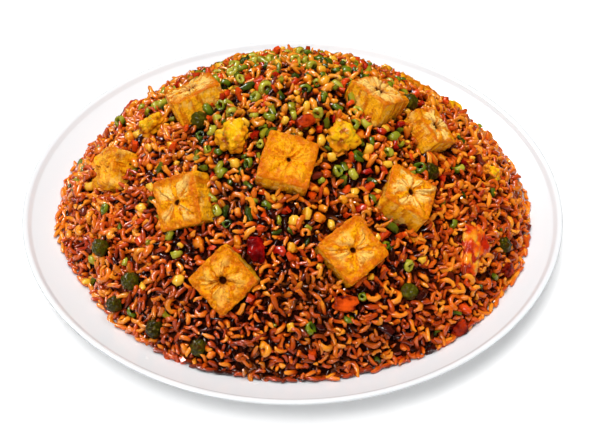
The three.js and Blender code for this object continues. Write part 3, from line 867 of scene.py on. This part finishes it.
class Shaping(Graph):
    """A tree of geometry nodes."""

    def stored(self, geometry, name, value, kind="FLOAT", domain="POINT"):
        """The geometry with a value kept by name on each of its points, or of its copies."""
        settings = {"data_type": kind, "domain": domain}
        values = {"Geometry": geometry, "Name": name, "Value": value}
        return self.node("GeometryNodeStoreNamedAttribute", settings, values)

    def named(self, name, kind="FLOAT"):
        return self.node("GeometryNodeInputNamedAttribute", {"data_type": kind}, {"Name": name})

    def moved(self, geometry, offset):
        return self.node("GeometryNodeSetPosition", None, {"Geometry": geometry, "Offset": offset})

    def spun(self, rotation, **angles):
        """The rotation turned further, about its own axes."""
        by = self.node("FunctionNodeEulerToRotation", None, {"Euler": self.joined(**angles)})
        values = {"Rotation": rotation, "Rotate By": by}
        return self.node("FunctionNodeRotateRotation", {"rotation_space": "LOCAL"}, values)

    def circle(self, steps, across):
        values = {"Resolution": steps, "Radius": across * 0.5}
        return self.node("GeometryNodeCurvePrimitiveCircle", None, values)

    def nearest(self, geometry, here, out):
        values = {"Geometry": geometry, "Sample Position": here}
        return self.node("GeometryNodeProximity", {"target_element": "FACES"}, values, out)

    def as_one(self, geometry):
        return self.node("GeometryNodeGeometryToInstance", None, {"Geometry": geometry})


def scatter_tree(name, shape_of):
    """A tree that lays copies of one shape over a bed, clear of what is already there.
    shape_of(graph, sizes) adds the nodes of the shape, which lies along X and stores `along`."""
    tree = bpy.data.node_groups.new(name, "GeometryNodeTree")
    tree.is_modifier = True
    graph = Shaping(tree)
    names = {}
    for label, kind in SCATTER_INPUTS.items():
        socket = tree.interface.new_socket(label, in_out="INPUT", socket_type="NodeSocket" + kind)
        names[label] = socket.identifier
    tree.interface.new_socket("Geometry", in_out="OUTPUT", socket_type="NodeSocketGeometry")
    handed_in = graph.node("NodeGroupInput")
    size = {label: handed_in.also(label) for label in SCATTER_INPUTS}

    def drawn(least, most, order):
        values = {"Min": least, "Max": most, "Seed": size["Seed"] * DRAWS_KEPT + order}
        return graph.node("FunctionNodeRandomValue", {"data_type": "FLOAT"}, values)

    # spots on the bed, none nearer to another than the spacing, then lifted to where the pieces lie
    spacing = size["Spacing"]
    spots = graph.node("GeometryNodeDistributePointsOnFaces", {"distribute_method": "POISSON"}, {
        "Mesh": size["Bed"], "Distance Min": spacing, "Density Max": TRIES / (spacing * spacing),
        "Density Factor": graph.named(size["Where"]), "Seed": size["Seed"]})
    lift = size["Lift"] + drawn(-1.0, 1.0, 1) * size["Lift spread"]
    lifted = graph.moved(spots, graph.scaled(spots.also("Normal"), lift))

    # no spot inside, or nearer than the room to, what already lies on the heap
    here = graph.node("GeometryNodeInputPosition")
    others = graph.node("GeometryNodeRealizeInstances", None, {
        "Geometry": graph.node("GeometryNodeCollectionInfo", None, {"Collection": size["Already there"]})})
    facing = graph.node("GeometryNodeSampleNearestSurface", {"data_type": "FLOAT_VECTOR"}, {
        "Mesh": others, "Value": graph.node("GeometryNodeInputNormal"), "Sample Position": here})
    from_nearest = graph.vector("SUBTRACT", here, graph.nearest(others, here, "Position"))
    outside = graph.vector("DOT_PRODUCT", from_nearest, facing, "Value")
    crowded = graph.node("FunctionNodeCompare", {"operation": "LESS_THAN"}, {"A": outside, "B": size["Room"]})
    kept = graph.node("GeometryNodeDeleteGeometry", {"domain": "POINT"}, {
        "Geometry": lifted, "Selection": crowded})

    # each piece turned at random round the way out of the heap, then tilted and rolled
    turned_about = graph.spun(spots.also("Rotation"), Z=drawn(-math.pi, math.pi, 2))
    place = graph.split(here)
    round_the_plate = graph.joined(X=0 - place.also("Y"), Y=place)
    led = graph.node("FunctionNodeAlignRotationToVector", {"axis": "X", "pivot_axis": "Z"}, {
        "Rotation": turned_about, "Factor": size["Along rim"], "Vector": round_the_plate})
    turn = graph.spun(led, X=drawn(-math.pi, math.pi, 3), Y=drawn(-1.0, 1.0, 4) * size["Tilt"])
    grown = drawn(size["Least size"], size["Most size"], 5)
    stretched = graph.joined(
        X=grown * drawn(0.85, 1.18, 6), Y=grown * drawn(0.88, 1.12, 7), Z=grown * drawn(0.88, 1.12, 8))
    pieces = graph.node("GeometryNodeInstanceOnPoints", None, {
        "Points": kept, "Instance": shape_of(graph, size), "Pick Instance": True,
        "Rotation": turn, "Scale": stretched})

    # each piece's own shade, and the way in which it sways once it is real
    shade = drawn(size["Least shade"], size["Most shade"], 9)
    pieces = graph.stored(pieces, "shade", shade, domain="INSTANCE")
    rotation = graph.node("GeometryNodeInputInstanceRotation")
    way = graph.node("FunctionNodeRotateVector", None, {"Vector": (0.0, 0.0, 1.0), "Rotation": rotation})
    sway = graph.scaled(way, drawn(-1.0, 1.0, 11) * size["Wiggle"])
    pieces = graph.stored(pieces, "sway", sway, "FLOAT_VECTOR", "INSTANCE")
    real = graph.node("GeometryNodeRealizeInstances", None, {"Geometry": pieces})
    along = graph.named("along")
    wave = along * (1 - along * along) * WAVE_CREST
    swayed = graph.moved(real, graph.scaled(graph.named("sway", "FLOAT_VECTOR"), wave))
    dents = graph.node("ShaderNodeTexNoise", None, {"Scale": 1 / (DENT_SIZE * MM), "Detail": 1.0}, "Color")
    dent = graph.vector("SUBTRACT", dents, (0.5, 0.5, 0.5))
    crumpled = graph.moved(swayed, graph.scaled(dent, size["Crumple"] * 4))
    # how high each skin stands over the bed, kept for its finish to paint shade on sunk skins and light on
    # clear ones
    over_bed = graph.nearest(size["Bed"], here, "Distance")
    measured = graph.stored(crumpled, "rise", graph.step(over_bed, DEEP * MM, CLEAR * MM))
    coated = graph.node("GeometryNodeSetMaterial", None, {"Geometry": measured, "Material": size["Finish"]})
    graph.node("NodeGroupOutput", None, {"Geometry": coated})
    return tree, names


def scattered(name, shape_of, finish, bed_piece=dome, **sizes):
    """A piece of many real copies of a shape, laid over a bed by its own tree."""
    tree, names = scatter_tree(name, shape_of)
    piece = bpy.data.objects.new(name, bed_piece.data.copy())
    bpy.context.scene.collection.objects.link(piece)
    layer = piece.modifiers.new("scatter", "NODES")
    layer.node_group = tree
    values = {"Already there": heap_of_things, "Finish": finish.material, "Where": "everywhere",
              "Lift spread": 1.2, "Least size": 0.7, "Most size": 1.2, "Most shade": 1.0}
    values |= {key.replace("_", " "): value for key, value in sizes.items()}
    for label, value in values.items():
        layer[names[label]] = value * MM if label in SCATTER_LENGTHS else value
    bpy.context.view_layer.update()
    laid = piece.evaluated_get(bpy.context.evaluated_depsgraph_get())
    mesh = bpy.data.meshes.new_from_object(laid)
    piece.modifiers.remove(layer)
    piece.data = mesh
    mesh.name = name
    for spent in [a.name for a in mesh.attributes if a.name in ("sway", "sharp_face")]:
        mesh.attributes.remove(mesh.attributes[spent])
    mesh.shade_smooth()
    lay_on_heap(piece)
    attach(piece, "root")
    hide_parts("rice_heap")


def bent_tubes(sides, rings, blunt, bends):
    """The shape of round pieces as long as Length and as thick as Width, tapered to `blunt` of it at
    their ends: one for each bend in degrees, to be picked from."""
    def shape_of(graph, size):
        choice = graph.node("GeometryNodeJoinGeometry")
        for bend in bends:
            sweep = math.radians(bend)
            radius = size["Length"] * (1 / sweep)
            arc = graph.node("GeometryNodeCurveArc", None, {
                "Resolution": rings, "Radius": radius,
                "Start Angle": math.pi / 2 + sweep / 2, "Sweep Angle": -sweep})
            middle = graph.node("GeometryNodeSplineParameter", None, None, "Factor") * 2 - 1
            taper = 1 - (1 - blunt) * (middle * middle) * (middle * middle)
            tube = graph.node("GeometryNodeCurveToMesh", None, {
                "Curve": graph.stored(arc, "along", middle), "Scale": taper,
                "Profile Curve": graph.circle(sides, size["Width"]), "Fill Caps": True})
            sagitta = (1 + math.cos(sweep / 2)) / 2
            centred = graph.node("GeometryNodeTransform", None, {
                "Geometry": tube, "Translation": graph.joined(Y=radius * -sagitta)})
            graph.tree.links.new(graph.as_one(centred).socket, choice.socket.node.inputs[0])
        return choice
    return shape_of


def along_x(graph, mesh, size):
    """Keeps how far each point of the shape is along it, from -1 to 1, and makes it one to pick."""
    spot = graph.split(graph.node("GeometryNodeInputPosition"))
    return graph.as_one(graph.stored(mesh, "along", spot / (size["Length"] * 0.5)))


def ring_of_onion(graph, size):
    """A short hollow ring: a band of rounded section swept round a circle."""
    ring = graph.node("GeometryNodeCurveToMesh", None, {
        "Curve": graph.circle(12, size["Length"]), "Profile Curve": graph.circle(6, size["Width"])})
    taller = graph.node("GeometryNodeTransform", None, {"Geometry": ring, "Scale": (1.0, 1.0, 1.7)})
    return along_x(graph, taller, size)


def dice(graph, size):
    """A cut cube with soft corners: a cube's grid drawn part of the way in to a ball."""
    sides = graph.joined(X=size["Length"], Y=size["Width"], Z=size["Width"])
    cube = graph.node("GeometryNodeMeshCube", None, {
        "Size": sides, "Vertices X": 3, "Vertices Y": 3, "Vertices Z": 3})
    spot = graph.node("GeometryNodeInputPosition")
    share = graph.vector("DIVIDE", spot, sides)
    far = graph.node("ShaderNodeVectorMath", {"operation": "LENGTH"}, {0: share}, "Value")
    shrink = 1 / (1 + 0.5 * graph.step(far, 0.5, 0.9))
    softened = graph.node("GeometryNodeSetPosition", None, {
        "Geometry": cube, "Position": graph.scaled(spot, shrink)})
    return along_x(graph, softened, size)


def stained_and_shaded(name, stops, blot=4.0, depth=0.25, low_darkening=0.0, gloss=0.5):
    """A wet skin whose colour runs from one stop to the next with the piece's own shade. It is painted
    darker, as shade, where it lies sunk between others, and painted lighter where it stands clear. Where a
    darkening low down is given, it is also darker low down in the middle, in front and behind, and lighter
    towards the top, its painted shade is weaker on the flanks, red oil tints it in patches, and it turns
    yellower in patches near the top."""
    finish = Finish(name, Roughness=0.26, Specular_IOR_Level=0.35, Coat_Weight=gloss, Coat_Roughness=0.1)
    blots = finish.noise(finish.place, blot, detail=2)
    shade = finish.attribute("shade") + 0.35 * (blots - 0.5)
    rise = finish.attribute("rise")
    # painted shade on skins sunk between others, painted light on those that stand clear
    depth_shading = 0.85 * (rise - 0.6)
    if low_darkening:
        side = finish.split(finish.place)
        inwards = 1 - finish.step(finish.absolute(side), 35 * MM, 92 * MM)
        low = 1 - finish.step(side.also("Z"), 50 * MM, 99 * MM)
        high = finish.step(side.also("Z"), 62 * MM, 96 * MM)
        # darker low down in the middle, in front and behind, and lighter towards the top
        shade = shade - low_darkening * (inwards * low) + 0.1 * high
        # the painted shade between skins is kept weaker on the flanks
        depth_shading = depth_shading * (0.5 + 0.5 * inwards)
    skin = finish.ramp(shade + depth_shading, stops)
    if low_darkening:
        oil = finish.step(finish.noise(finish.place, 26, detail=3), 0.46, 0.62) * rise
        skin = finish.mix(oil * 0.55, skin, finish.mix(inwards, "#b02404", "#a45008"))
        skin = finish.mix(high * rise * finish.step(blots, 0.42, 0.6) * 0.45, skin, "#d08c0c")
    finish.set("Base Color", skin)
    finish.bump(finish.noise(finish.place, 1.3), depth=depth)
    return finish


onion_finish = stained_and_shaded("spring_onion", [
    (0.0, "#222c04"), (0.35, "#4a5e08"), (0.65, "#767e0c"), (0.95, "#aea42a")])
scattered("onion_rings", ring_of_onion, onion_finish, Where="at_top", Spacing=7.3, Room=1.3,
          Lift=3.8, Lift_spread=0.8, Tilt=1.0, Crumple=0.7, Length=4.0, Width=1.8, Most_size=1.25, Seed=11)

slice_of_bean = bent_tubes(sides=7, rings=4, blunt=0.8, bends=(15, 50, 80))
bean_finish = stained_and_shaded("green_slices", [
    (0.0, "#161a02"), (0.3, "#2c3a06"), (0.65, "#545e0a"), (0.95, "#948a14")])
scattered("bean_slices", slice_of_bean, bean_finish, Where="at_top", Spacing=5.9, Room=1.2, Lift=3.7,
          Tilt=0.8, Crumple=0.8, Length=5.0, Width=3.0, Least_size=0.65, Most_size=1.25, Seed=12)

cut_strip = bent_tubes(sides=4, rings=4, blunt=0.85, bends=(10, 45, 90))
red_finish = stained_and_shaded("red_bits", [(0.0, "#5c0402"), (0.35, "#a81404"), (0.8, "#d84408")])
scattered("pepper_bits", cut_strip, red_finish, Where="at_top", Spacing=6.2, Room=1.1, Lift=3.7,
          Tilt=1.5, Crumple=1.0, Length=4.8, Width=3.4, Least_size=0.65, Most_size=1.3, Seed=15)

carrot_finish = stained_and_shaded("carrot", [(0.0, "#c43c04"), (0.3, "#de6c06"), (0.65, "#ea9410"), (1.0, "#f0b42c")])
scattered("carrot_dice", dice, carrot_finish, Where="at_top", Spacing=4.7, Room=1.1, Lift=3.6,
          Tilt=1.5, Crumple=0.9, Length=4.9, Width=3.5, Least_size=0.65, Most_size=1.3, Seed=14)

dark_finish = stained_and_shaded("dark_beans", [(0.0, "#1c0404"), (0.6, "#420e06"), (1.0, "#6a1e08")])
scattered("dark_beans", slice_of_bean, dark_finish, Spacing=19, Room=1.2, Lift=3.4, Lift_spread=0.8,
          Tilt=0.4, Crumple=0.4, Length=5.0, Width=3.4, Most_size=1.25, Seed=16)

# ---------------------------------------------------------------- rice grains
# Long grains of rice, fried in red oil and sauce until they curled: slim, glossy and separate.
# The grains underneath and those sunk between others are painted darker as shade, those low in the middle are
# darker too, those on top amber, and a row lies flat round the foot.

GRAIN_LENGTH = 6.6
GRAIN_WIDTH = 2.2

rice_stops = [(0.0, "#2e0902"), (0.2, "#782404"), (0.45, "#b43a04"), (0.72, "#de640a"), (1.0, "#f2921e")]
rice_finish = stained_and_shaded("rice_grain", rice_stops, blot=14.0, depth=0.15, low_darkening=0.28, gloss=0.6)
under_finish = stained_and_shaded("rice_underlayer", rice_stops, blot=14.0, depth=0.15, low_darkening=0.28, gloss=0.15)

curl = bent_tubes(sides=6, rings=9, blunt=0.6, bends=(160, 230, 290))
long_grain = bent_tubes(sides=6, rings=5, blunt=0.45, bends=(12, 35, 65))
hooked_grain = bent_tubes(sides=6, rings=6, blunt=0.5, bends=(90, 130, 175))
under_grain = bent_tubes(sides=5, rings=5, blunt=0.5, bends=(20, 70, 120))

scattered("rice_curls", curl, rice_finish, Where="on_flanks", Spacing=5.6, Room=0.9, Lift=3.4,
          Tilt=0.8, Crumple=0.6, Length=11.0, Width=2.6, Least_shade=0.35, Most_size=1.15, Seed=21)
scattered("rice_short", long_grain, rice_finish, Where="at_top", Spacing=3.4, Room=0.8, Lift=3.3,
          Tilt=0.9, Crumple=0.6, Length=5.0, Width=3.0, Least_shade=0.4, Most_shade=1.1, Seed=25)
scattered("rice_hooked", hooked_grain, rice_finish, Spacing=3.9, Room=0.8, Lift=3.3, Tilt=1.0,
          Crumple=0.35, Length=7.4, Width=GRAIN_WIDTH, Wiggle=0.8, Least_shade=0.25, Seed=22)
scattered("rice_long", long_grain, rice_finish, Spacing=2.3, Room=0.5, Lift=2.9, Lift_spread=1.4, Tilt=1.0,
          Crumple=0.35, Length=GRAIN_LENGTH, Width=GRAIN_WIDTH, Wiggle=0.8, Least_shade=0.15, Seed=26)

# the grains underneath may lie close under the long ones; their low shades are painted shade for the gaps
# between those on top
heap_of_things.objects.unlink(bpy.data.objects["rice_long"])
scattered("rice_under", under_grain, under_finish, Spacing=2.7, Room=0.2, Lift=0.8, Lift_spread=0.9,
          Tilt=0.7, Crumple=0.2, Length=GRAIN_LENGTH, Width=GRAIN_WIDTH, Wiggle=0.5,
          Least_shade=-0.05, Most_shade=0.55, Least_size=0.75, Seed=23)

# the row of grains that lies flat on the plate round the foot
FOOT_STEPS = 240
FOOT_REACHES = (0.94, 1.005)
foot_points = []
for reach in FOOT_REACHES:
    for k in range(FOOT_STEPS):
        angle = 2 * math.pi * k / FOOT_STEPS
        ragged = reach * (1 + 0.012 * noise.noise((4 * math.cos(angle), 4 * math.sin(angle), reach)))
        x = ragged * HEAP_HALF_LENGTH * math.cos(angle)
        y = HEAP_SHIFT + ragged * HEAP_HALF_WIDTH * math.sin(angle)
        x, y = x * drawn_in(x, y), y * drawn_in(x, y)
        foot_points.append((x, y, plate_top(math.hypot(x, y))))
foot_faces = []
for k in range(FOOT_STEPS):
    after = (k + 1) % FOOT_STEPS
    foot_faces.append((k, FOOT_STEPS + k, FOOT_STEPS + after, after))
foot_bed = piece_of("foot_bed", foot_points, foot_faces)
store(foot_bed, "everywhere", [1.0] * len(foot_points))
# this row stands low over its own bed, so its shades start high to offset the painted shade given to sunk
# skins
scattered("rice_at_foot", long_grain, rice_finish, bed_piece=foot_bed, Spacing=2.2, Room=0.4,
          Lift=1.4, Lift_spread=0.2, Tilt=0.1, Along_rim=0.8, Crumple=0.15,
          Length=GRAIN_LENGTH, Width=GRAIN_WIDTH, Wiggle=0.3,
          Least_shade=0.7, Most_shade=1.25, Least_size=0.8, Seed=24)
bpy.data.objects.remove(foot_bed)
bpy.data.objects.remove(dome)
bpy.data.collections.remove(heap_of_things)
